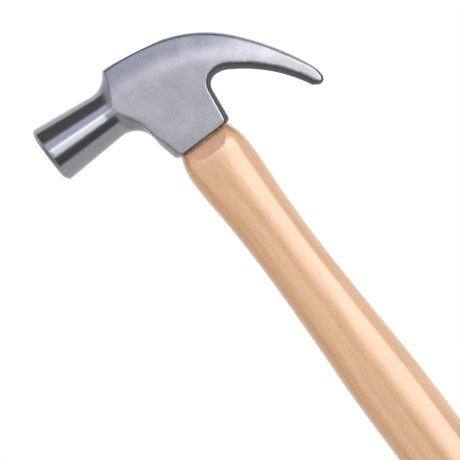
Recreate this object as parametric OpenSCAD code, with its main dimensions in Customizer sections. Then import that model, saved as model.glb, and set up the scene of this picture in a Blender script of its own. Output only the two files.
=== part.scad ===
// Curved-claw carpenter's hammer: a drop-forged steel head wedged on a wooden handle.
// +Z runs up the handle to the head, -X is the striking face, +X is the claw and the
// hammer is the same on both sides of Y = 0. The origin is the centre of the flat butt.
// Heights marked "above the socket" are measured from the lower edge of the head's socket.

/* [Overall] */
// Length from the butt of the handle to the crown of the head
overall_l = 330; // [310:1:360]
// Height of the head from the lower edge of its socket to its crown
head_h = 53.8; // [53:0.1:55]
// Thickness of the head across its two ground cheeks
head_t = 25; // [24:0.5:26]

/* [Poll] */
// Distance from the handle's axis to the striking face
face_x = 62.8; // [58:0.1:66]
// Height of the poll's axis above the socket
poll_h = 36.4; // [36:0.1:37]
// Radius of the flat striking face
face_r = 11.7; // [11:0.1:12.5]
// Radius of the poll just behind the face's chamfer
bell_r = 14.3; // [13.8:0.1:15]
// Length of the chamfer round the face
chamfer_l = 1.9; // [1.5:0.1:2.5]
// Radius of the poll at its neck
neck_r = 11.65; // [11:0.05:12]
// Radius of the flare between the neck and the body
flare_r = 12; // [11.5:0.1:12.5]

/* [Claw] */
// Half of the slot's width at its throat
slot_throat = 0.9; // [0.7:0.1:1.2]
// Half of the slot's width at the tips
slot_tip = 4.4; // [4:0.1:5]
// How much further each side of the slot is bevelled back at the outer face
slot_bevel = 1.6; // [1:0.1:2]
// Half of the claw's width at its tips
claw_tip_w = 10.4; // [9.5:0.1:11.5]

/* [Eye] */
// Half length and half width of the eye at the socket's lower edge
eye_low = [12.4, 8.7]; // [8:0.1:13]
// Half length and half width of the eye at its waist
eye_waist = [11.7, 8.0]; // [7:0.1:12]
// Half length and half width of the eye at the crown
eye_top = [13.2, 9.2]; // [8:0.1:13.5]
// Height of the eye's waist above the socket
waist_h = 24; // [20:1:30]
// Distance of the eye's axis in front of the handle's axis
eye_x = -0.5; // [-1:0.1:0]

/* [Handle] */
// Radius of the rounded edge round the butt
butt_round = 3; // [2:0.5:4]
// Open joint between the handle's shoulder and the socket
shoulder_gap = 0.6; // [0.4:0.1:1]
// Slope of the flat shaved on each side of the shoulder, in degrees
shave_a = 20; // [16:1:24]
// How far below the socket the shaved flat runs out
shave_l = 8; // [7:0.5:9]

/* [Wedges] */
// How far the top of the wood lies below the crown
wood_drop = 1.3; // [1:0.1:2]
// Thickness of the wooden wedge at its driven end
wood_wedge_t = 4.2; // [3.5:0.1:5]
// Depth of the wooden wedge
wood_wedge_d = 34; // [28:1:36]
// Width of the saw kerf in the tenon
kerf_w = 1.2; // [1:0.1:1.5]
// Depth of the saw kerf in the tenon
kerf_d = 39; // [37:1:42]
// Thickness of a steel wedge at its driven end
steel_wedge_t = 2.6; // [2:0.1:3]
// Width of a steel wedge
steel_wedge_w = 13; // [11:0.5:14]
// Depth of a steel wedge
steel_wedge_d = 19; // [15:1:22]
// Distance of each steel wedge from the eye's axis
steel_wedge_x = 5.6; // [5:0.1:6.5]
// Angle by which each steel wedge was driven out of square, in degrees
steel_wedge_skew = 6; // [0:1:8]

/* [Hidden] */

STEEL = "#a7aab2";
WOOD = "#dcb187";
WEDGE_WOOD = "#c99a68";
WEDGE_STEEL = "#8b8f97";

seat_z = overall_l - head_h;
half_t = head_t / 2;
// Reach of a cut that passes right through
far = 80;
// How far the flare of the neck lies under the body's own cheeks and crown
skin = 0.02;

// Crown: radius, turn and number of steps of each arc, from the corner over the neck out to the claw's tip
crown_start = [-18, head_h];
crown_heading = -1.7;
crown_legs = [[116, 14, 6], [62.3, 34, 8], [135, 16, 5], [25, 9, 2]];

// Underside: the same, from the top of the socket's rear wall to the tip
under_start = [17.1, 16];
under_heading = 83.5;
under_legs = [[5.6, 83.5, 4], [11.5, 31.2, 3], [70, 33, 8]];
// Share of the walls' inset that the underside takes
under_draft = 0.82;

// Outermost point of the claw's tip
claw_end = [62.3, -9.6];
// Depth of the driven wedges' ends below the highest point of the crown
eye_drop = 3;
// Thickness of a steel wedge at its thin end
steel_wedge_tip = 0.4;

// Lower corners of the socket, and the points up its front wall to the neck's flare: x, height
// and the share of the wall's inset that each one takes
socket_front = -15.6;
socket_rear = 15.3;
socket_corner = 1.2;
front_wall = [[-17.3, 8, 1], [-18, 14, 0.3], [-18, 20, 0]];

// Four levels from the mid-plane out to the cheek: share of half the head's thickness, and how
// far in from the outline the walls and the crown lie there
CHEEK = 3;
LEVELS = [-3, -2, -1, 0, 1, 2, 3];
level_y = [0, 0.45, 0.86, 1];
wall_inset = [0, 0.6, 1.9, 2.4];
crown_inset = [0, 0.2, 1.2, 1.5];
// The facet under the crown is this much deeper than crown_inset at the cheek; it narrows from
// facet_even and is gone at facet_end
facet_drop = 9.2;
facet_even = 26;
facet_end = 56;

// Handle: height above the butt, half width along X, half thickness along Y
GRIP = [
  [0, 17.3, 13.4], [30, 17.6, 13.5], [70, 16.9, 13], [110, 17.1, 12.9], [140, 16.8, 12.5],
  [165, 15.7, 11.8], [207, 14.5, 11], [236, 14.95, 11.5], [256, 16.2, 12.4], [267, 16.05, 12.4],
  [276, 13.6, 11.4]
];
// Squareness of its section below square_from, and at the socket
grip_power = 2.3;
shoulder_power = 3.2;
square_from = 256;
// The eye's own squareness, and the points and spacing of the handle's rings
eye_power = 2.6;
ring_n = 36;
grip_step = 13;

function arc_end(p, h, r, a) = p + r * [sin(h) - sin(h - a), cos(h - a) - cos(h)];

// Points of a chain of right-hand arcs, each as [x, z, heading]
function chain(p, h, legs, k = 0) =
  k == len(legs) ? [[p.x, p.y, h]] :
  let (r = legs[k][0], a = legs[k][1], n = legs[k][2])
  concat(
    [for (i = [0 : n - 1]) concat(arc_end(p, h, r, a * i / n), [h - a * i / n])],
    chain(arc_end(p, h, r, a), h - a, legs, k + 1)
  );

// A chain moved sideways by d, to the right of its direction
function shifted(path, d) =
  [for (q = path) [q[0] + d * sin(q[2]), q[1] - d * cos(q[2])]];

// Depth of the facet under the crown at x along the head
function facet_depth(x) =
  facet_drop * min(1, max(0, (facet_end - x) / (facet_end - facet_even)));

// Inset of the crown at one level and at x along the head
function crown_at(level, x) = crown_inset[level] + (level == CHEEK ? facet_depth(x) : 0);

function reversed(list) = [for (i = [len(list) - 1 : -1 : 0]) list[i]];

// The head's side outline at one level between the mid-plane and the cheek
function outline(level) =
  let (
    crown = chain(crown_start, crown_heading, crown_legs),
    under = chain(under_start, under_heading, under_legs),
    w = wall_inset[level],
    c = crown_inset[level]
  )
  concat(
    [for (q = crown) each shifted([q], crown_at(level, q[0]))],
    [
      claw_end - [c, 0],
      claw_end - [0.9 + c, 2.1 - c / 2],
      claw_end - [3.1 + c / 4, 2.6 - c / 2]
    ],
    reversed(shifted(under, -under_draft * w)),
    [
      [socket_rear - w + 0.15, socket_corner],
      [socket_rear - w - socket_corner, 0],
      [socket_front + w + socket_corner, 0],
      [socket_front + w - 0.15, socket_corner]
    ],
    [for (q = front_wall) [q[0] + q[2] * w, q[1]]]
  );

// Triangles that fill a ring of n points, by joining each point to the one opposite
function fill(n) = [
  for (i = [0 : n / 2 - 2])
    each [[i, i + 1, n - 2 - i], [i, n - 2 - i, n - 1 - i]]
];

// Closed shell through rings of equally many points, an even number of them
module shell(rings) {
  n = len(rings[0]);
  m = len(rings);
  polyhedron(
    points = [for (ring = rings) each ring],
    faces = concat(
      fill(n),
      [for (k = [0 : m - 2], i = [0 : n - 1]) let (j = (i + 1) % n)
        each [[k * n + i, (k + 1) * n + i, (k + 1) * n + j],
              [k * n + i, (k + 1) * n + j, k * n + j]]],
      [for (t = fill(n)) [for (i = reversed(t)) (m - 1) * n + i]]
    )
  );
}

function superellipse(a, b, power, z, cx = 0) = [
  for (i = [0 : ring_n - 1])
    let (t = 360 * i / ring_n, c = cos(t), s = sin(t))
    [cx + a * sign(c) * pow(abs(c), 2 / power), b * sign(s) * pow(abs(s), 2 / power), z]
];

// Half sizes of the eye at a height above the socket
function eye_at(z) =
  let (low = z < waist_h, reach = low ? waist_h : head_h - waist_h)
  let (f = pow((z - waist_h) / reach, 2))
  eye_waist + f * ((low ? eye_low : eye_top) - eye_waist);

module eye_core(z0, z1) {
  steps = ceil((z1 - z0) / 6);
  shell([for (k = [0 : steps])
    let (z = z0 + (z1 - z0) * k / steps, e = eye_at(z))
    superellipse(e.x, e.y, eye_power, z, eye_x)]);
}

// Everything lower than the crown by at least drop
module below_crown(drop) {
  r = crown_legs[0][0];
  translate([crown_start.x + r * sin(crown_heading), 0, crown_start.y - r * cos(crown_heading)])
    rotate([90, 0, 0])
      cylinder(r = r - drop, h = far, center = true, $fn = 240);
}

// Striking face, chamfer, bell, neck and the flare that runs into the body
module poll() {
  neck_x = flare_r - crown_start.x;
  flare_n = 12;
  flare = [for (i = [1 : flare_n]) let (a = 90 * i / flare_n)
    [neck_r + flare_r * (1 - cos(a)), flare_r * sin(a) - neck_x]];
  intersection() {
    translate([0, 0, poll_h])
      rotate([0, 90, 0])
        rotate_extrude($fn = 96)
          polygon(concat(
            [[0, -face_x], [face_r, -face_x], [bell_r, chamfer_l - face_x], [neck_r, -neck_x]],
            flare, [[0, crown_start.x]]
          ));
    union() {
      translate([-far - neck_x, -far / 2, 0])
        cube([far, far, far]);
      rotate([90, 0, 90])
        translate([0, 0, -neck_x - 1])
          linear_extrude(height = far)
            polygon(concat(
              [[half_t - skin, 0], [skin - half_t, 0]],
              [for (k = LEVELS) let (a = abs(k))
                [sign(k) * (half_t - skin) * level_y[a], head_h - skin - crown_at(a, crown_start.x)]]
            ));
    }
  }
}

// Body with its socket and claw, drafted from the mid-plane out to the cheeks
module body() {
  intersection() {
    shell([for (k = LEVELS) let (y = sign(k) * half_t * level_y[abs(k)])
      [for (q = outline(abs(k))) [q.x, y, q.y]]]);
    claw_plan();
  }
}

// Plan outline that narrows the claws towards their tips
module claw_plan() {
  side = [
    [-far, half_t + 1], [10, half_t + 0.4], [45, half_t - 0.6], [claw_end.x, claw_tip_w],
    [claw_end.x + 2, claw_tip_w]
  ];
  translate([0, 0, -far])
    linear_extrude(height = 3 * far)
      polygon(concat(side, reversed([for (q = side) [q.x, -q.y]])));
}

// Tapered slot between the claws, swept about the centre that their curve shares
module claw_slot() {
  centre = [8, -28];
  throat_a = 78;
  tip_a = 19;
  past_tip_a = 8;
  under_r = 51;
  crown_r = 64;
  inner_r = 46;
  outer_r = 95;
  steps = 10;
  shell([for (k = [0 : steps])
    let (
      a = throat_a + (past_tip_a - throat_a) * k / steps,
      f = (throat_a - a) / (throat_a - tip_a),
      w = slot_throat + (slot_tip - slot_throat) * f,
      slope = f * slot_bevel / (crown_r - under_r),
      w0 = w + slope * (inner_r - under_r),
      w1 = w + slope * (outer_r - under_r),
      p0 = centre + inner_r * [cos(a), sin(a)],
      p1 = centre + outer_r * [cos(a), sin(a)]
    )
    [[p0.x, -w0, p0.y], [p0.x, w0, p0.y], [p1.x, w1, p1.y], [p1.x, -w1, p1.y]]]);
}

// Forged and ground steel head, with the eye and the nail slot cut through it
module head() {
  color(STEEL)
    translate([0, 0, seat_z])
      difference() {
        union() {
          poll();
          body();
        }
        eye_core(-6, head_h + 6);
        claw_slot();
      }
}

// Slope of a curve through points at one station, from its two neighbours
function slope_at(i) =
  let (a = GRIP[max(i - 1, 0)], b = GRIP[min(i + 1, len(GRIP) - 1)])
  [(b[1] - a[1]) / (b[0] - a[0]), (b[2] - a[2]) / (b[0] - a[0])];

// Half width and half thickness of the handle at a height above the butt
function grip_at(z) =
  let (
    i = max([for (k = [0 : len(GRIP) - 2]) GRIP[k][0] <= z ? k : 0]),
    a = GRIP[i],
    b = GRIP[i + 1],
    l = b[0] - a[0],
    t = (z - a[0]) / l,
    h1 = t * t * (3 - 2 * t),
    h2 = t * (1 - t) * (1 - t) * l,
    h3 = t * t * (t - 1) * l
  )
  [for (k = [0, 1]) a[k + 1] + h1 * (b[k + 1] - a[k + 1]) + h2 * slope_at(i)[k] + h3 * slope_at(i + 1)[k]];

// Squareness of the handle's section at a height above the butt
function power_at(z) =
  let (t = min(1, max(0, (z - square_from) / (seat_z - square_from))))
  grip_power + (shoulder_power - grip_power) * t * t * (3 - 2 * t);

// Outside of the handle from its butt to its shoulder
module grip() {
  shoulder_z = seat_z - shoulder_gap;
  round_n = 4;
  butt = [for (i = [0 : round_n - 1]) butt_round * (1 - cos(90 * i / round_n))];
  steps = ceil((shoulder_z - butt_round) / grip_step);
  body = [for (i = [0 : steps]) butt_round + (shoulder_z - butt_round) * i / steps];
  shell([for (z = concat(butt, body))
    let (
      g = grip_at(z),
      inset = z < butt_round ? butt_round - sqrt(pow(butt_round, 2) - pow(butt_round - z, 2)) : 0
    )
    superellipse(g[0] - inset, g[1] - inset, power_at(z), z)]);
}

// Flats shaved on the two broad sides where the shoulder meets the socket
module shaved_flats() {
  edge_y = grip_at(seat_z - shave_l)[1];
  for (side = [-1, 1])
    translate([0, side * edge_y, seat_z - shave_l])
      rotate([side * shave_a, 0, 0])
        translate([-far / 2, side > 0 ? 0 : -far / 2, 0])
          cube([far, far / 2, far]);
}

// Wood inside the eye, level with the crown
module tenon() {
  translate([0, 0, seat_z])
    intersection() {
      eye_core(-2 * shoulder_gap, head_h);
      below_crown(wood_drop);
    }
}

// Prism that tapers from its driven end, t thick, down to tip_t at depth d
module wedge_prism(t, tip_t, d, w) {
  over = 2;
  grow = over * (t - tip_t) / d;
  rotate([90, 0, 90])
    linear_extrude(height = w, center = true)
      polygon([
        [-tip_t / 2, -d], [tip_t / 2, -d], [(t + grow) / 2, over], [-(t + grow) / 2, over]
      ]);
}

// Space of the wooden wedge, before it is trimmed to the eye
module wood_wedge_space() {
  translate([eye_x, 0, overall_l - eye_drop])
    wedge_prism(wood_wedge_t, kerf_w, wood_wedge_d, far / 2);
}

// Steel wedge, driven across the wooden one; side is -1 in front and 1 behind
module steel_wedge(side) {
  color(WEDGE_STEEL)
    intersection() {
      translate([eye_x + side * steel_wedge_x, 0, overall_l - eye_drop])
        rotate([0, 0, 90 + side * steel_wedge_skew])
          wedge_prism(steel_wedge_t, steel_wedge_tip, steel_wedge_d, steel_wedge_w);
      translate([0, 0, seat_z])
        below_crown(wood_drop);
    }
}

// Handle in one piece, with the kerf and the wedges' spaces open in its tenon
module handle() {
  color(WOOD)
    difference() {
      union() {
        difference() {
          grip();
          shaved_flats();
        }
        tenon();
      }
      translate([-far / 2, -kerf_w / 2, overall_l - eye_drop - kerf_d])
        cube([far, kerf_w, far]);
      wood_wedge_space();
      steel_wedge(-1);
      steel_wedge(1);
    }
}

// Hardwood wedge that spreads the tenon into the flare of the eye
module wooden_wedge() {
  color(WEDGE_WOOD)
    difference() {
      intersection() {
        wood_wedge_space();
        tenon();
      }
      steel_wedge(-1);
      steel_wedge(1);
    }
}

module steel_wedge_front() {
  steel_wedge(-1);
}

module steel_wedge_rear() {
  steel_wedge(1);
}

head();
handle();
wooden_wedge();
steel_wedge_front();
steel_wedge_rear();
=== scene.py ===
import math

import bmesh
import bpy
from mathutils import Matrix, Vector


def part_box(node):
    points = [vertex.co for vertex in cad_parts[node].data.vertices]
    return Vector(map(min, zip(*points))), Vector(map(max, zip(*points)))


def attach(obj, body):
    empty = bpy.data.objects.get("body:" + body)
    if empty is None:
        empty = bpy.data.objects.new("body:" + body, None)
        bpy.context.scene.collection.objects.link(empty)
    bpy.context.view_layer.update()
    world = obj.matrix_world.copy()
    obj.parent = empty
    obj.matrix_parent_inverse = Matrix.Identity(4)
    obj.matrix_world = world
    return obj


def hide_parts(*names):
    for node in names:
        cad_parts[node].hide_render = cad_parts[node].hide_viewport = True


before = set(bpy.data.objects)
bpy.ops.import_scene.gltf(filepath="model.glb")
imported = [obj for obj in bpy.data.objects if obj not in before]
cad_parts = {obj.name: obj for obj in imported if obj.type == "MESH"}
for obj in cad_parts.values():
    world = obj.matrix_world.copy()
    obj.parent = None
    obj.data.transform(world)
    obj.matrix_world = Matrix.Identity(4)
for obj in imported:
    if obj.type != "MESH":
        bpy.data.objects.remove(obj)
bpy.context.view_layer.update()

# Camera: stands square to the head's cheek and level with it, and is rolled so that the handle
# runs down to the right. A long lens keeps the head free of perspective.
scene = bpy.context.scene
crown_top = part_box("head")[1].z
sensor_width = 36
camera_distance = 1.4
camera_roll = 36.98
view_width = 0.214
view_left_of_axis = 0.0156
view_below_crown = 0.0947

camera_data = bpy.data.cameras.new("camera")
camera_data.sensor_width = sensor_width
camera_data.lens = sensor_width * camera_distance / view_width
camera = bpy.data.objects.new("camera", camera_data)
scene.collection.objects.link(camera)
camera.location = (-view_left_of_axis, -camera_distance, crown_top - view_below_crown)
facing = Matrix.Rotation(math.radians(camera_roll), 4, "Y") @ Matrix.Rotation(math.radians(90), 4, "X")
camera.rotation_euler = facing.to_euler()
scene.camera = camera
scene.view_settings.view_transform = "Standard"

# Head: one piece of drop-forged carbon steel, quenched, then ground on belts on its cheeks, its
# poll and its claws. It is drawn as a side outline drafted from the mid-plane out to both cheeks,
# with a turned poll joined on, and then the eye and the nail slot are cut through it.
seat_z = 276.2
head_h = 53.8
half_t = 12.5

# Sizes are in millimetres from the handle's axis and the socket's foot. An arc is a radius, a turn
# in degrees and its steps. A corner is an x and a z, and the shares that it takes of the draft or
# of the crown's fall; the corners of the claws' tip are measured from claw_end.
crown_start = Vector((-18, head_h))
crown_heading = -1.7
crown_arcs = ((116, 14, 24), (62.3, 34, 30), (135, 16, 30), (25, 9, 6))
under_start = Vector((17.1, 16))
under_heading = 83.5
under_arcs = ((5.6, 83.5, 12), (11.5, 31.2, 8), (70, 33, 32))
under_draft = 0.82
claw_end = Vector((62.3, -9.6))
claw_tip = ((0, 0, 1, 0), (-0.9, -2.1, 1, 0.5), (-3.1, -2.6, 0.25, 0.5))
claw_tip_w = 10.4
claw_from = 20
claw_bend = 1.6
claw_rows = 42
socket_front = -15.6
socket_rear = 15.3
socket_corner = 1.2
socket_lean = 0.15
front_wall = ((-17.3, 8, 1), (-17.9, 11, 0.6), (-18, 14, 0.3), (-18, 20, 0))

wall_draft = 2.4
wall_bend = 1.75
crown_fall = 1.2
crown_bend = 2.6
facet_level = 0.86
facet_drop = 9.2
facet_even = 26
facet_end = 56
facet_flat = 0.55
facet_full = 1.6
facet_steps = 12


def facet_share(depth):
    """Share of half the thickness at a depth down the facet, which is flat and then rounds off."""
    round_l = facet_full - facet_flat
    bent = max(0, depth - facet_flat)
    rise = (depth - bent**2 / (2 * round_l)) / (facet_full - round_l / 2)
    return facet_level + (1 - facet_level) * rise


def to_right(heading):
    """Unit vector in X and Z to the right of a heading, in degrees up from +X."""
    return Vector((math.sin(math.radians(heading)), -math.cos(math.radians(heading))))


def draw_arcs(bm, start, heading, arcs, y, inset):
    """Spins one vertex along right-hand arcs, all moved inset to their right, and lists them."""
    first = start + to_right(heading) * inset
    corner = bm.verts.new((first.x, y, first.y))
    drawn = [corner]
    for radius, turn, steps in arcs:
        across = to_right(heading)
        here = Vector((drawn[-1].co.x, drawn[-1].co.z)) + across * (radius - inset)
        for _ in range(steps):
            spun = bmesh.ops.spin(
                bm, geom=[drawn[-1]], cent=(here.x, 0, here.y), axis=(0, 1, 0),
                angle=math.radians(turn / steps), steps=1,
            )
            drawn.extend(v for v in spun["geom_last"] if isinstance(v, bmesh.types.BMVert))
        heading -= turn
    return drawn


def facet_left(x):
    """Share of the ground facet under the crown that is left at x along the head."""
    return min(1, max(0, (facet_end - x) / (facet_end - facet_even)))


def claw_share(x):
    """Share of the head's thickness that is left at x, where the claws narrow to their tips."""
    run = max(0, (x - claw_from) / (claw_end.x - claw_from))
    return 1 - (1 - claw_tip_w / half_t) * run**claw_bend


def crown_fall_at(share):
    """How far the crown lies under its mid-plane's outline at a share of half the thickness."""
    return crown_fall * min(1, share / facet_level) ** crown_bend


def outline(bm, y, share, facet):
    """One closed side outline of the body, y from the mid-plane."""
    wall = wall_draft * share**wall_bend
    crown = crown_fall_at(share)
    top = draw_arcs(bm, crown_start, crown_heading, crown_arcs, y, crown)
    heading = crown_heading
    headings = [crown_heading]
    for _, turn, steps in crown_arcs:
        headings += [heading - turn * (i + 1) / steps for i in range(steps)]
        heading -= turn
    for vert, angle in zip(top, headings):
        left = facet_left(vert.co.x)
        down = to_right(angle) * facet_drop * facet * math.sqrt(left)
        vert.co += Vector((down.x, 0, down.y))
        if share >= facet_level:
            vert.co.y *= (1 - (1 - share) * left) / share
    under = draw_arcs(bm, under_start, under_heading, under_arcs, y, -under_draft * wall)
    tip = [
        (claw_end.x + x - back * crown, claw_end.y + z + up * crown) for x, z, back, up in claw_tip
    ]
    foot = [
        (socket_rear - wall + socket_lean, socket_corner),
        (socket_rear - wall - socket_corner, 0),
        (socket_front + wall + socket_corner, 0),
        (socket_front + wall - socket_lean, socket_corner),
    ]
    foot += [(x + held * wall, z) for x, z, held in front_wall]
    ring = top + [bm.verts.new((x, y, z)) for x, z in tip]
    ring += reversed(under)
    ring += [bm.verts.new((x, y, z)) for x, z in foot]
    return ring


def close_ring(bm, ring):
    """Edges all round a ring of vertices, with the ones missing between its arcs made."""
    pairs = zip(ring, ring[1:] + ring[:1])
    return [bm.edges.get(pair) or bm.edges.new(pair) for pair in pairs]


def to_object(bm, name):
    """Closes a bmesh into an object with its faces turned outwards."""
    bmesh.ops.remove_doubles(bm, verts=bm.verts, dist=0.0005)
    bmesh.ops.recalc_face_normals(bm, faces=bm.faces)
    mesh = bpy.data.meshes.new(name)
    bm.to_mesh(mesh)
    bm.free()
    piece = bpy.data.objects.new(name, mesh)
    scene.collection.objects.link(piece)
    return piece


def combine(piece, operation, tool):
    """Joins a tool to a piece or cuts it away, and removes the tool."""
    step = piece.modifiers.new("combine", "BOOLEAN")
    step.operation = operation
    step.object = tool
    step.solver = "EXACT"
    settle(piece)
    bpy.data.objects.remove(tool)


def settle(piece):
    """Applies the modifiers of a piece to its mesh."""
    graph = bpy.context.evaluated_depsgraph_get()
    mesh = bpy.data.meshes.new_from_object(piece.evaluated_get(graph))
    piece.modifiers.clear()
    piece.data = mesh


# Levels out from the mid-plane: share of half the thickness, and share of the facet's depth
inner = [(facet_level * k / 8, 0) for k in range(9)]
depths = [facet_full * (k + 1) / facet_steps for k in range(facet_steps)]
half_levels = inner + [(facet_share(depth), depth) for depth in depths]
levels = [(-share, depth) for share, depth in reversed(half_levels[1:])] + half_levels

body = bmesh.new()
rings = []
for share, facet in levels:
    rings.append(outline(body, share * half_t, abs(share), facet))
loops = [close_ring(body, ring) for ring in rings]
for one, other in zip(loops, loops[1:]):
    bmesh.ops.bridge_loops(body, edges=one + other)
for ring in (rings[0], rings[-1]):
    bmesh.ops.contextual_create(body, geom=close_ring(body, ring))
# Rows across the claws let their cheeks bend evenly as they narrow
for k in range(claw_rows):
    row_x = claw_from + (claw_end.x - claw_from) * k / claw_rows
    bmesh.ops.bisect_plane(
        body, geom=body.verts[:] + body.edges[:] + body.faces[:], plane_co=(row_x, 0, 0),
        plane_no=(1, 0, 0), dist=0.0001,
    )
for vert in body.verts:
    vert.co.y *= claw_share(vert.co.x)
head = to_object(body, "forged_head")

# The poll: striking face slightly domed, chamfer, bell tapering to the neck, and the flare
poll_h = 36.4
face_x = -62.8
face_r = 11.7
dome = 0.25
face_steps = 6
chamfer_l = 1.9
bell_r = 14.3
neck_x = -30
neck_r = 11.65
flare_r = 11.05
flare_steps = 24
poll_rise = 0.6
overlap = 1.5
skin = 0.02
poll_centre = Vector((0, 0, poll_h))
around = {"axis": (1, 0, 0), "angle": math.tau, "steps": 128, "use_merge": True}

poll = bmesh.new()
dome_r = (face_r**2 + dome**2) / (2 * dome)
face_end = math.asin(face_r / dome_r)
profile = [poll.verts.new((face_x, 0, poll_h))]
for _ in range(face_steps):
    spun = bmesh.ops.spin(
        poll, geom=[profile[-1]], cent=(face_x + dome_r, 0, poll_h), axis=(0, 1, 0),
        angle=face_end / face_steps, steps=1,
    )
    profile.extend(v for v in spun["geom_last"] if isinstance(v, bmesh.types.BMVert))
inside = neck_x + overlap
for x, r in ((face_x + chamfer_l, bell_r), (neck_x, neck_r), (inside, neck_r), (inside, 0)):
    profile.append(poll.verts.new((x, 0, poll_h + r)))
    poll.edges.new(profile[-2:])
bmesh.ops.spin(poll, geom=poll.verts[:] + poll.edges[:], cent=poll_centre, **around)
for vert in poll.verts:
    lean = (vert.co.x - neck_x) / (face_x - neck_x)
    vert.co.z += poll_rise * (2 * min(1, max(0, lean)) - 1)
poll = to_object(poll, "poll")

flare = bmesh.new()
profile = [flare.verts.new((neck_x - 1, 0, z)) for z in (poll_h, poll_h + neck_r)]
profile.append(flare.verts.new((neck_x, 0, poll_h + neck_r)))
taper = math.atan((bell_r - neck_r) / (neck_x - face_x - chamfer_l))
flare_mid = (neck_x + flare_r * math.sin(taper), 0, poll_h + neck_r + flare_r * math.cos(taper))
for _ in range(flare_steps):
    spun = bmesh.ops.spin(
        flare, geom=[profile[-1]], cent=flare_mid, axis=(0, 1, 0),
        angle=-(math.radians(90) + taper) / flare_steps, steps=1,
    )
    profile.extend(v for v in spun["geom_last"] if isinstance(v, bmesh.types.BMVert))
profile.append(flare.verts.new((profile[-1].co.x, 0, poll_h)))
close_ring(flare, profile)
flare.edges.remove(flare.edges.get((profile[-1], profile[0])))
bmesh.ops.spin(flare, geom=flare.verts[:] + flare.edges[:], cent=poll_centre, **around)
bmesh.ops.translate(flare, verts=flare.verts, vec=(0, 0, -poll_rise))
bmesh.ops.remove_doubles(flare, verts=flare.verts, dist=0.0005)
flare = to_object(flare, "flare")

# The flare's rim is trimmed to the section that the body has at its front corner
roof_x = neck_x - 2
roof_foot = -4
roof_l = 30
roof = bmesh.new()
section = [roof.verts.new((roof_x, y, roof_foot)) for y in (half_t - skin, skin - half_t)]
for share, facet in levels:
    fall = crown_fall_at(abs(share)) + facet * facet_drop
    section.append(roof.verts.new((roof_x, share * (half_t - skin), head_h - skin - fall)))
cap = bmesh.ops.contextual_create(roof, geom=close_ring(roof, section))["faces"]
prism = bmesh.ops.extrude_face_region(roof, geom=cap)["geom"]
roof_end = [v for v in prism if isinstance(v, bmesh.types.BMVert)]
bmesh.ops.translate(roof, verts=roof_end, vec=(roof_l, 0, 0))
combine(flare, "INTERSECT", to_object(roof, "roof"))
combine(head, "UNION", flare)
combine(head, "UNION", poll)

# The eye, an hourglass that flares towards both ends so that the wedged tenon can't pull out
eye_low = (12.4, 8.7)
eye_waist = (11.7, 8.0)
eye_top = (13.2, 9.2)
waist_h = 24
eye_x = -0.5
eye_power = 2.6
ring_n = 72
eye_over = 6
eye_rows = 30


def eye_at(z):
    """Half sizes of the eye at a height above the socket."""
    end, reach = (eye_low, waist_h) if z < waist_h else (eye_top, head_h - waist_h)
    share = ((z - waist_h) / reach) ** 2
    return [w + share * (e - w) for w, e in zip(eye_waist, end)]


def squared(share, power):
    """One coordinate of a unit circle, squared off to a superellipse of the given power."""
    return math.copysign(abs(share) ** (2 / power), share)


def loft(bm, stations):
    """Extrudes an oval through stations of half x, half y, x, y, z and power, and caps it."""
    verts = bmesh.ops.create_circle(bm, segments=ring_n, radius=1)["verts"]
    first = list(verts)
    unit = [vert.co.copy() for vert in verts]
    for k, (a, b, x, y, z, power) in enumerate(stations):
        if k:
            edges = [e for e in bm.edges if e.verts[0] in ring and e.verts[1] in ring]
            grown = bmesh.ops.extrude_edge_only(bm, edges=edges)["geom"]
            fresh = [v for v in grown if isinstance(v, bmesh.types.BMVert)]
            near = {tuple(v.co): v for v in fresh}
            verts = [near[tuple(v.co)] for v in verts]
        for vert, at in zip(verts, unit):
            vert.co = (x + a * squared(at.x, power), y + b * squared(at.y, power), z)
        ring = set(verts)
    return [bmesh.ops.contextual_create(bm, geom=end)["faces"] for end in (first, verts)]


eye = bmesh.new()
heights = [-eye_over + (head_h + 2 * eye_over) * k / eye_rows for k in range(eye_rows + 1)]
loft(eye, [(*eye_at(z), eye_x, 0, z, eye_power) for z in heights])
combine(head, "DIFFERENCE", to_object(eye, "eye"))

# The nail slot, swept about the centre that both claws' curves share and opening to their tips
slot_centre = Vector((8, 0, -28))
slot_r = (46, 51, 64, 95)
slot_turn = (78, 8)
slot_tip_a = 19
slot_throat = 0.9
slot_tip = 4.4
slot_bevel = 1.6
slot_steps = 36
throat_dir = Vector((math.cos(math.radians(slot_turn[0])), 0, math.sin(math.radians(slot_turn[0]))))
slot = bmesh.new()
for r in slot_r:
    slot.verts.new(slot_centre + throat_dir * r)
slot.verts.ensure_lookup_table()
strip = [slot.edges.new(slot.verts[k : k + 2]) for k in range(3)]
bmesh.ops.spin(
    slot, geom=slot.verts[:] + strip, cent=slot_centre, axis=(0, 1, 0),
    angle=math.radians(slot_turn[0] - slot_turn[1]), steps=slot_steps,
)
grown = bmesh.ops.extrude_face_region(slot, geom=slot.faces[:])["geom"]
far_side = {v for v in grown if isinstance(v, bmesh.types.BMVert)}
for vert in slot.verts:
    out = vert.co - slot_centre
    share = (slot_turn[0] - math.degrees(math.atan2(out.z, out.x))) / (slot_turn[0] - slot_tip_a)
    lean = share * slot_bevel * (out.length - slot_r[1]) / (slot_r[2] - slot_r[1])
    width = slot_throat + (slot_tip - slot_throat) * share + lean
    vert.co.y = width if vert in far_side else -width
combine(head, "DIFFERENCE", to_object(slot, "slot"))

# The belt leaves every edge slightly broken: the mesh is rebuilt in even quads and smoothed
edge_break = 0.48
rebuild = head.modifiers.new("rebuild", "REMESH")
rebuild.mode = "VOXEL"
rebuild.voxel_size = edge_break
rebuild.use_smooth_shade = True
soften = head.modifiers.new("soften", "SMOOTH")
soften.factor = 0.5
soften.iterations = 8
settle(head)


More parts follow.
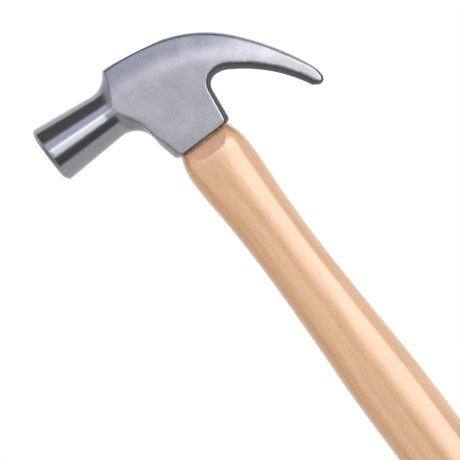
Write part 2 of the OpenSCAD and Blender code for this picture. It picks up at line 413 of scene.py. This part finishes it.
def place(piece, rise):
    """Lifts a piece drawn in millimetres by rise and scales it to metres, in its mesh."""
    piece.data.transform(Matrix.Scale(0.001, 4) @ Matrix.Translation((0, 0, rise)))
    piece.data.polygons.foreach_set("use_smooth", [True] * len(piece.data.polygons))
    piece.data.update()


def linear(code):
    """Linear colour of an sRGB hex code."""
    parts = [int(code[k : k + 2], 16) / 255 for k in (1, 3, 5)]
    return [p / 12.92 if p <= 0.04045 else ((p + 0.055) / 1.055) ** 2.4 for p in parts] + [1]


def node(tree, kind, inputs=(), stops=(), **settings):
    """Adds a node: sockets among its inputs are linked, other values are set, stops fill a ramp."""
    made = tree.nodes.new("ShaderNode" + kind)
    for name, value in settings.items():
        setattr(made, name, value)
    for name, value in dict(inputs).items():
        if isinstance(value, bpy.types.NodeSocket):
            tree.links.new(value, made.inputs[name])
        else:
            made.inputs[name].default_value = value
    for k, (at, colour) in enumerate(stops):
        ramp = made.color_ramp.elements
        stop = ramp[k] if k < 2 else ramp.new(at)
        stop.position = at
        stop.color = colour
    return made


def material(name):
    """A new material with only its output."""
    made = bpy.data.materials.new(name)
    made.use_nodes = True
    made.node_tree.nodes.clear()
    return made, made.node_tree


# Belt-ground carbon steel: a satin grey metal whose fine scratches run along the head. The crown,
# the walls of the socket and the undersides keep the darker, rougher skin that the forging leaves.
# Over that skin the tone is painted lighter where it faces up and darker where it faces down, as
# painted light and shade.
steel, tree = material("belt_ground_forged_steel")
here = node(tree, "TexCoord").outputs
place_in = node(tree, "SeparateXYZ", {"Vector": here["Object"]}).outputs
facing_out = node(tree, "SeparateXYZ", {"Vector": here["Normal"]}).outputs
sideways = node(tree, "Math", {0: facing_out["Y"]}, operation="ABSOLUTE").outputs[0]
edge_on = node(
    tree, "MapRange", {"Value": sideways, "From Min": 0.9, "From Max": 0.6},
    interpolation_type="SMOOTHSTEP",
).outputs[0]
# The grinding takes in the poll and the socket's front wall, which slopes back as it rises
behind_wall = node(
    tree, "Math", {0: place_in["Z"], 1: 0.143, 2: place_in["X"]}, operation="MULTIPLY_ADD"
).outputs[0]
past_neck = node(
    tree, "MapRange", {"Value": behind_wall, "From Min": 0.028, "From Max": 0.03},
    interpolation_type="SMOOTHSTEP",
).outputs[0]
forged = node(tree, "Math", {0: edge_on, 1: past_neck}, operation="MULTIPLY").outputs[0]
# Painted light and shade: faces of the forged skin that turn upwards get a lighter tone, and those that
# turn down stay darkest
facing_up_painted_light = node(
    tree, "MapRange", {"Value": facing_out["Z"], "From Min": -0.1, "From Max": 0.35},
    interpolation_type="SMOOTHSTEP",
).outputs[0]
turned = node(
    tree, "MapRange", {"Value": place_in["X"], "From Min": -0.0235, "From Max": -0.0265},
    interpolation_type="SMOOTHSTEP",
).outputs[0]
# Scratches of a 120 grit belt are about 0.1 mm wide; these are 0.35 mm so that they show. They
# run along the cheeks and claws, and round the poll.
along = node(tree, "Mapping", {"Vector": here["Object"], "Scale": (60, 2800, 2800)}).outputs[0]
along = node(tree, "TexNoise", {"Vector": along, "Scale": 1, "Detail": 3, "Roughness": 0.6}).outputs[0]
round_poll = node(tree, "Mapping", {"Vector": here["Object"], "Scale": (2800, 90, 90)}).outputs[0]
round_poll = node(
    tree, "TexNoise", {"Vector": round_poll, "Scale": 1, "Detail": 3, "Roughness": 0.6}
).outputs[0]
scratch = node(tree, "Mix", {0: turned, 2: along, 3: round_poll}).outputs[0]
cloud = node(tree, "TexNoise", {"Vector": here["Object"], "Scale": 95, "Detail": 3}).outputs[0]
scale_skin = node(tree, "TexNoise", {"Vector": here["Object"], "Scale": 900, "Detail": 4}).outputs[0]
ground_tone = node(
    tree, "ValToRGB", {"Fac": cloud}, [(0.3, linear("#85858b")), (0.7, linear("#95959b"))]
).outputs[0]
ground_tone = node(
    tree, "Mix", {0: turned, 6: ground_tone, 7: linear("#96969b")}, data_type="RGBA"
).outputs[2]
forged_tone_with_painted_light = node(
    tree, "ValToRGB", {"Fac": scale_skin}, [(0.3, linear("#3a383a")), (0.7, linear("#4e4c4f"))]
).outputs[0]
# The lighter, painted-lit copy of the skin, for faces that turn upwards
painted_lit_crown_tone = node(
    tree, "ValToRGB", {"Fac": scratch}, [(0.3, linear("#6b6a6f")), (0.7, linear("#807f84"))]
).outputs[0]
forged_tone_with_painted_light = node(
    tree, "Mix", {0: facing_up_painted_light, 6: forged_tone_with_painted_light, 7: painted_lit_crown_tone}, data_type="RGBA"
).outputs[2]
tone = node(tree, "Mix", {0: forged, 6: ground_tone, 7: forged_tone_with_painted_light}, data_type="RGBA").outputs[2]
rubbed = node(
    tree, "MapRange",
    {"Value": scratch, "From Min": 0.3, "From Max": 0.7, "To Min": 0.25, "To Max": 0.31},
).outputs[0]
rubbed = node(tree, "Math", {0: turned, 1: -0.1, 2: rubbed}, operation="MULTIPLY_ADD").outputs[0]
skin_rough = node(tree, "MapRange", {"Value": facing_up_painted_light, "To Min": 0.5, "To Max": 0.34}).outputs[0]
rough = node(tree, "Mix", {0: forged, 2: rubbed, 3: skin_rough}).outputs[0]
skin_relief = node(tree, "Mix", {0: facing_up_painted_light, 2: scale_skin, 3: scratch}).outputs[0]
relief = node(tree, "Mix", {0: forged, 2: scratch, 3: skin_relief}).outputs[0]
bump = node(tree, "Bump", {"Height": relief, "Strength": 0.05, "Distance": 0.00004}).outputs[0]
shader = node(
    tree, "BsdfPrincipled",
    {"Base Color": tone, "Metallic": 1.0, "Roughness": rough, "Normal": bump},
).outputs[0]
node(tree, "OutputMaterial", {"Surface": shader})

head.data.materials.append(steel)
place(head, seat_z)
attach(head, "root")
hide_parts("head")

# Handle: one turned and sanded stick of pale straight-grained hardwood under satin lacquer. It is
# oval in section, swells where the hand holds it and under the head, and ends in a tenon that
# fills the eye. Two flats are shaved where its shoulder meets the socket.
grip_stations = (
    (0, 17.3, 13.4), (30, 17.6, 13.5), (70, 16.9, 13), (110, 17.1, 12.9), (140, 16.8, 12.5),
    (165, 15.7, 11.8), (207, 14.5, 11), (236, 14.95, 11.5), (256, 16.2, 12.4), (267, 16.05, 12.4),
    (276, 13.6, 11.4),
)
grip_power = 2.3
shoulder_power = 3.2
square_from = 256
butt_round = 3
butt_rows = 9
stick_rows = 150
edge_round = 0.5
edge_rows = 3
cap_inset = 2.5
shoulder_gap = 0.6
shave_a = 20
shave_l = 8
shoulder_z = seat_z - shoulder_gap
crisp_edge = math.radians(35)


def slope_at(k):
    """Slope of the handle's half sizes at one station, from the stations on both sides."""
    a = grip_stations[max(k - 1, 0)]
    b = grip_stations[min(k + 1, len(grip_stations) - 1)]
    return [(q - p) / (b[0] - a[0]) for p, q in zip(a[1:], b[1:])]


def grip_at(z):
    """Half sizes of the handle at a height above the butt."""
    k = max(i for i, station in enumerate(grip_stations[:-1]) if station[0] <= z)
    a, b = grip_stations[k], grip_stations[k + 1]
    run = b[0] - a[0]
    t = (z - a[0]) / run
    blend = t * t * (3 - 2 * t)
    leave = t * (1 - t) ** 2 * run
    arrive = t * t * (t - 1) * run
    return [
        p + blend * (q - p) + leave * m + arrive * n
        for p, q, m, n in zip(a[1:], b[1:], slope_at(k), slope_at(k + 1))
    ]


def power_at(z):
    """Squareness of the handle's section, which rises where the shoulder nears the socket."""
    share = min(1, max(0, (z - square_from) / (seat_z - square_from)))
    return grip_power + (shoulder_power - grip_power) * share * share * (3 - 2 * share)


# Heights and insets of the rows: round the butt, up the stick, and over the shoulder's edge
rows = []
for k in range(butt_rows):
    turn = math.radians(90 * k / butt_rows)
    rows.append((butt_round * (1 - math.cos(turn)), butt_round * (1 - math.sin(turn))))
straight = shoulder_z - edge_round - butt_round
rows += [(butt_round + straight * k / stick_rows, 0) for k in range(stick_rows + 1)]
for k in range(1, edge_rows + 1):
    turn = math.radians(90 * k / edge_rows)
    rows.append((shoulder_z - edge_round * (1 - math.sin(turn)), edge_round * (1 - math.cos(turn))))
grip = bmesh.new()
stations = []
for z, inset in rows:
    stations.append((*[half - inset for half in grip_at(z)], 0, 0, z, power_at(z)))
for cap in loft(grip, stations):
    bmesh.ops.inset_region(grip, faces=cap, thickness=cap_inset, use_even_offset=True)

# The shaved flats: the surface outside each sloping plane is pressed down onto it
edge_y = grip_at(seat_z - shave_l)[1]
for side in (-1, 1):
    slope = math.radians(shave_a)
    plane_at = Vector((0, side * edge_y, seat_z - shave_l))
    plane_out = Vector((0, side * math.cos(slope), math.sin(slope)))
    bmesh.ops.bisect_plane(
        grip, geom=grip.verts[:] + grip.edges[:] + grip.faces[:], plane_co=plane_at,
        plane_no=plane_out, dist=0.0001,
    )
    for vert in grip.verts:
        proud = (vert.co - plane_at).dot(plane_out)
        if proud > 0 and vert.co.z < shoulder_z + 0.001:
            vert.co -= plane_out * proud
handle = to_object(grip, "turned_handle")

# The tenon fills the eye and is sawn off just under the crown, then split by its wedges
crown_r = crown_arcs[0][0]
crown_mid = crown_start + to_right(crown_heading) * crown_r
crown_steps = 480
wood_drop = 1.3
wedge_drop = 3
across_eye = 40
core_rows = 24
fit_gap = 0.05


def below_crown(name, drop):
    """A solid that holds everything at least drop below the crown, over the eye."""
    bm = bmesh.new()
    r = crown_r - drop
    bmesh.ops.create_cone(
        bm, cap_ends=True, segments=crown_steps, radius1=r, radius2=r, depth=across_eye
    )
    bmesh.ops.rotate(bm, verts=bm.verts, matrix=Matrix.Rotation(math.radians(90), 3, "X"))
    bmesh.ops.translate(bm, verts=bm.verts, vec=(crown_mid.x, 0, crown_mid.y + seat_z))
    return to_object(bm, name)


def eye_core(name, gap):
    """Everything inside the eye, gap clear of its wall, from the shoulder to past the crown."""
    bm = bmesh.new()
    tall = head_h + 2 * shoulder_gap
    stations = []
    for k in range(core_rows + 1):
        z = tall * k / core_rows - 2 * shoulder_gap
        stations.append((*[half - gap for half in eye_at(z)], eye_x, 0, z + seat_z, eye_power))
    loft(bm, stations)
    core = to_object(bm, name)
    combine(core, "INTERSECT", below_crown("sawn_end", wood_drop))
    return core


def wedge(name, thick, tip, deep, wide, x, turn):
    """A wedge driven down into the tenon, its length along X before it is turned."""
    over = 2
    bm = bmesh.new()
    bmesh.ops.create_cube(bm, size=1)
    for vert in bm.verts:
        top = vert.co.z > 0
        half = (thick + over * (thick - tip) / deep) / 2 if top else tip / 2
        vert.co = (vert.co.x * wide, math.copysign(half, vert.co.y), over if top else -deep)
    bmesh.ops.rotate(bm, verts=bm.verts, matrix=Matrix.Rotation(math.radians(turn), 3, "Z"))
    bmesh.ops.translate(bm, verts=bm.verts, vec=(eye_x + x, 0, head_h - wedge_drop + seat_z))
    return to_object(bm, name)


kerf_w = 1.2
kerf_d = 39
wood_wedge = {"thick": 4.2, "tip": kerf_w, "deep": 34, "wide": across_eye, "x": 0, "turn": 0}
steel_wedge = {"thick": 2.6, "tip": 0.4, "deep": 19, "wide": 13}
steel_wedge_x = 5.6
steel_wedge_skew = 6
steel_wedges = {
    side: steel_wedge | {"x": side * steel_wedge_x, "turn": 90 + side * steel_wedge_skew}
    for side in (-1, 1)
}
combine(handle, "UNION", eye_core("tenon", fit_gap))
kerf = wood_wedge | {"thick": kerf_w, "tip": kerf_w - 0.001, "deep": kerf_d}
for space in (kerf, wood_wedge, *steel_wedges.values()):
    combine(handle, "DIFFERENCE", wedge("space", **space))

# Lacquered pale hardwood: yearly rings a couple of millimetres apart run the length of the stick
# as soft bands, crossed by short fine pores. The lacquer gives it a broad, quiet shine.
hardwood, tree = material("lacquered_hardwood")
here = node(tree, "TexCoord").outputs
ring_gap = 0.0031
# The stick is sawn well away from the tree's heart, which lies to one side of it
wander_at = node(tree, "Mapping", {"Vector": here["Object"], "Scale": (28, 28, 5)}).outputs[0]
wander = node(tree, "TexNoise", {"Vector": wander_at, "Scale": 1, "Detail": 3, "Roughness": 0.5}).outputs
swayed = node(
    tree, "VectorMath", {0: wander["Color"], 1: (0.5, 0.5, 0.5)}, operation="SUBTRACT"
).outputs[0]
swayed = node(
    tree, "VectorMath", {0: swayed, 1: (0.016, 0.016, 0), 2: here["Object"]}, operation="MULTIPLY_ADD"
).outputs[0]
heart = node(
    tree, "Mapping", {"Vector": swayed, "Location": (0.021, -0.06, 0), "Scale": (1, 1, 0)}
).outputs[0]
reach = node(tree, "VectorMath", {0: heart}, operation="LENGTH").outputs["Value"]
ring = node(tree, "Math", {0: reach, 1: math.tau / ring_gap}, operation="MULTIPLY").outputs[0]
ring = node(tree, "Math", {0: ring}, operation="SINE").outputs[0]
# Pores are 0.1 mm wide and 2 mm long; these are 0.4 mm by 9 mm so that they show
pore_at = node(tree, "Mapping", {"Vector": here["Object"], "Scale": (2400, 2400, 110)}).outputs[0]
pore = node(tree, "TexNoise", {"Vector": pore_at, "Scale": 1, "Detail": 2}).outputs[0]
streak_at = node(tree, "Mapping", {"Vector": here["Object"], "Scale": (420, 420, 14)}).outputs[0]
streak = node(
    tree, "TexNoise", {"Vector": streak_at, "Scale": 1, "Detail": 4, "Roughness": 0.6}
).outputs[0]
band = node(tree, "Math", {0: ring, 1: 0.07, 2: streak}, operation="MULTIPLY_ADD").outputs[0]
wood_tone = node(
    tree, "ValToRGB", {"Fac": band},
    [(0.25, linear("#c6956a")), (0.78, linear("#dbae84")), (0.5, linear("#d1a277"))],
).outputs[0]
pored = node(
    tree, "MapRange", {"Value": pore, "From Min": 0.34, "From Max": 0.44, "To Min": 0.91}
).outputs[0]
wood_tone = node(
    tree, "Mix", {0: 1.0, 6: wood_tone, 7: pored}, data_type="RGBA", blend_type="MULTIPLY"
).outputs[2]
# Cut ends soak up more lacquer and turn darker. Every face tilted more than about 12 degrees from
# upright, the shaved flats among them, gets some of the same darker tone as painted shade.
facing_out = node(tree, "SeparateXYZ", {"Vector": here["Normal"]}).outputs
upright = node(tree, "Math", {0: facing_out["Z"]}, operation="ABSOLUTE").outputs[0]
end_grain_and_painted_shade = node(
    tree, "MapRange", {"Value": upright, "From Min": 0.75, "From Max": 0.97, "To Max": 0.4}
).outputs[0]
# Painted shade: faces tilted more than about 12 degrees from upright, the shaved flats among them, are
# darkened
tilted_painted_shade = node(
    tree, "MapRange", {"Value": upright, "From Min": 0.13, "From Max": 0.2, "To Max": 0.4},
    interpolation_type="SMOOTHSTEP",
).outputs[0]
end_grain_and_painted_shade = node(tree, "Math", {0: end_grain_and_painted_shade, 1: tilted_painted_shade}, operation="ADD").outputs[0]
end_grain_and_shade_tone = node(
    tree, "Mix", {0: 1.0, 6: wood_tone, 7: linear("#cda678")}, data_type="RGBA", blend_type="MULTIPLY"
).outputs[2]
wood_tone = node(tree, "Mix", {0: end_grain_and_painted_shade, 6: wood_tone, 7: end_grain_and_shade_tone}, data_type="RGBA").outputs[2]
grain = node(tree, "Math", {0: pored, 1: streak}, operation="ADD").outputs[0]
bump = node(tree, "Bump", {"Height": grain, "Strength": 0.15, "Distance": 0.0001}).outputs[0]
dull = node(tree, "MapRange", {"Value": streak, "To Min": 0.26, "To Max": 0.36}).outputs[0]
shader = node(
    tree, "BsdfPrincipled",
    {
        "Base Color": wood_tone, "Roughness": dull, "IOR": 1.5, "Normal": bump,
        "Coat Weight": 1.0, "Coat Roughness": 0.12, "Coat IOR": 1.7,
    },
).outputs[0]
node(tree, "OutputMaterial", {"Surface": shader})
handle.data.materials.append(hardwood)
place(handle, 0)
handle.data.set_sharp_from_angle(angle=crisp_edge)
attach(handle, "root")
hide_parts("handle")

# Wooden wedge: a slip of darker, tougher hardwood glued and driven into the tenon's saw kerf along
# the eye, which spreads the tenon into the eye's flare. It is sawn off flush with the tenon.
wedge_wood, tree = material("end_grain_wedge_hardwood")
here = node(tree, "TexCoord").outputs
ring_at = node(tree, "Mapping", {"Vector": here["Object"], "Scale": (260, 1500, 60)}).outputs[0]
rings_seen = node(tree, "TexNoise", {"Vector": ring_at, "Scale": 1, "Detail": 4}).outputs[0]
tone = node(
    tree, "ValToRGB", {"Fac": rings_seen}, [(0.3, linear("#8a5c36")), (0.7, linear("#b98453"))]
).outputs[0]
bump = node(tree, "Bump", {"Height": rings_seen, "Strength": 0.3, "Distance": 0.0002}).outputs[0]
shader = node(
    tree, "BsdfPrincipled", {"Base Color": tone, "Roughness": 0.6, "IOR": 1.5, "Normal": bump}
).outputs[0]
node(tree, "OutputMaterial", {"Surface": shader})
slip = wedge("driven_wooden_wedge", **wood_wedge)
combine(slip, "INTERSECT", eye_core("eye_space", 1.2 * fit_gap))
for space in steel_wedges.values():
    combine(slip, "DIFFERENCE", wedge("space", **space))
slip.data.materials.append(wedge_wood)
place(slip, 0)
slip.data.set_sharp_from_angle(angle=crisp_edge)
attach(slip, "root")
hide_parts("wooden_wedge")

# Steel wedges: two small cut wedges of mild steel, hammered across the wooden one and slightly
# out of square, their heads bruised bright by the hammer that drove them and a little proud.
steel_proud = 0.15
mild_steel, tree = material("hammered_mild_steel")
here = node(tree, "TexCoord").outputs
dent = node(tree, "TexNoise", {"Vector": here["Object"], "Scale": 700, "Detail": 3}).outputs[0]
tone = node(
    tree, "ValToRGB", {"Fac": dent}, [(0.35, linear("#7d7d80")), (0.62, linear("#b9babd"))]
).outputs[0]
bump = node(tree, "Bump", {"Height": dent, "Strength": 0.5, "Distance": 0.0002}).outputs[0]
shader = node(
    tree, "BsdfPrincipled", {"Base Color": tone, "Metallic": 1.0, "Roughness": 0.4, "Normal": bump}
).outputs[0]
node(tree, "OutputMaterial", {"Surface": shader})
for side, where in ((-1, "front"), (1, "rear")):
    driven = wedge(f"driven_steel_wedge_{where}", **steel_wedges[side])
    combine(driven, "INTERSECT", below_crown("driven_flush", wood_drop - steel_proud))
    driven.data.materials.append(mild_steel)
    place(driven, 0)
    driven.data.set_sharp_from_angle(angle=crisp_edge)
    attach(driven, "root")
    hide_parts(f"steel_wedge_{where}")

# Floor: a pale matt sheet under the butt that fades into the white of the studio, and is left out
# of reflections so that the steel shows only the studio's soft lights.
floor_r = 0.75
floor_clear_r = 0.35
sheet = bmesh.new()
bmesh.ops.create_circle(sheet, cap_ends=True, segments=96, radius=floor_r)
floor = to_object(sheet, "floor")
floor.visible_glossy = False
paper, tree = material("pale_studio_paper")
here = node(tree, "TexCoord").outputs
from_middle = node(tree, "VectorMath", {0: here["Object"]}, operation="LENGTH").outputs["Value"]
faded = node(
    tree, "MapRange", {"Value": from_middle, "From Min": floor_clear_r, "From Max": floor_r},
    interpolation_type="SMOOTHSTEP",
).outputs[0]
matt = node(tree, "BsdfDiffuse", {"Color": linear("#f2f1ef")}).outputs[0]
clear = node(tree, "BsdfTransparent").outputs[0]
shader = node(tree, "MixShader", {0: faded, 1: matt, 2: clear}).outputs[0]
node(tree, "OutputMaterial", {"Surface": shader})
floor.data.materials.append(paper)

# Studio: a white tent. What the steel mirrors is a bright panel in front and to the right, dark
# gaps above and below it, and grey cloth behind.
studio = bpy.data.worlds.new("white_tent")
scene.world = studio
studio.use_nodes = True
tree = studio.node_tree
tree.nodes.clear()


def from_turn(*stops):
    """Stops given at degrees from -180 to 180, as shares of a whole turn."""
    return [((angle + 180) / 360, colour) for angle, colour in stops]


def grey(level):
    """A grey of one linear level."""
    return (level, level, level, 1)


looking = node(tree, "TexCoord").outputs["Generated"]
seen = node(tree, "SeparateXYZ", {"Vector": looking}).outputs
front = node(tree, "Math", {0: seen["Y"], 1: -1.0}, operation="MULTIPLY").outputs[0]
climb = node(tree, "Math", {0: seen["Z"], 1: front}, operation="ARCTAN2").outputs[0]
swing = node(tree, "Math", {0: seen["X"], 1: front}, operation="ARCTAN2").outputs[0]
turns = []
for angle in (climb, swing):
    turns.append(
        node(
            tree, "MapRange",
            {"Value": angle, "From Min": -math.pi, "From Max": math.pi},
        ).outputs[0]
    )
cloth = node(
    tree, "ValToRGB", {"Fac": turns[0]},
    from_turn(
        (-180, grey(0.9)), (180, grey(1.1)), (-64, grey(0.9)), (-56, grey(0.15)), (-24, grey(0.15)),
        (-17, grey(0.55)), (4, grey(0.55)), (8, grey(1.9)), (11, grey(1.9)),
        (17, (1.0, 1.05, 1.3, 1)), (42, (1.2, 1.25, 1.5, 1)),
        (50, grey(0.17)), (104, grey(0.17)), (114, grey(1.1)),
    ),
).outputs[0]
across = node(tree, "Math", {0: seen["X"], 1: 0.5, 2: 0.5}, operation="MULTIPLY_ADD").outputs[0]
aside = node(
    tree, "ValToRGB", {"Fac": across},
    [(0.14, grey(1)), (0.94, grey(1)), (0.36, grey(0)), (0.81, grey(0))],
).outputs[0]
wings = node(
    tree, "ValToRGB", {"Fac": across},
    [(0.02, grey(0.4)), (0.9, grey(1.1)), (0.16, grey(0.95)), (0.28, grey(0.4))],
).outputs[0]
cloth = node(tree, "Mix", {0: aside, 6: cloth, 7: wings}, data_type="RGBA").outputs[2]
panel_high = node(
    tree, "ValToRGB", {"Fac": turns[0]},
    from_turn(
        (-180, grey(0)), (180, grey(0)), (-19, grey(0)), (-14, grey(1)), (11, grey(1)), (18, grey(0)),
    ),
).outputs[0]
panel_wide = node(
    tree, "ValToRGB", {"Fac": turns[1]},
    from_turn(
        (-180, grey(0)), (180, grey(0)), (-50, grey(0)), (-38, grey(0.14)), (-9, grey(0.14)),
        (-4, grey(0.05)), (2, grey(0.08)), (9, grey(0.5)), (20, grey(1)), (54, grey(1)), (64, grey(0)),
    ),
).outputs[0]
panel_gain = 3.6
panel = node(
    tree, "Mix", {0: 1.0, 6: panel_high, 7: panel_wide}, data_type="RGBA", blend_type="MULTIPLY"
).outputs[2]
mirrored = node(
    tree, "VectorMath", {0: panel, 1: (panel_gain,) * 3, 2: cloth}, operation="MULTIPLY_ADD"
).outputs[0]
lit_from = node(
    tree, "VectorMath", {0: looking, 1: (0.35, -0.5, -0.05)}, operation="DOT_PRODUCT"
).outputs["Value"]
glow = node(
    tree, "MapRange",
    {"Value": lit_from, "From Min": -0.75, "From Max": 0.75, "To Min": 0.6, "To Max": 1.4},
).outputs[0]
ray = node(tree, "LightPath").outputs
light = node(tree, "Mix", {0: ray["Is Glossy Ray"], 6: glow, 7: mirrored}, data_type="RGBA").outputs[2]
light = node(tree, "Mix", {0: ray["Is Camera Ray"], 6: light, 7: grey(1.0)}, data_type="RGBA").outputs[2]
node(tree, "OutputWorld", {"Surface": node(tree, "Background", {"Color": light}).outputs[0]})
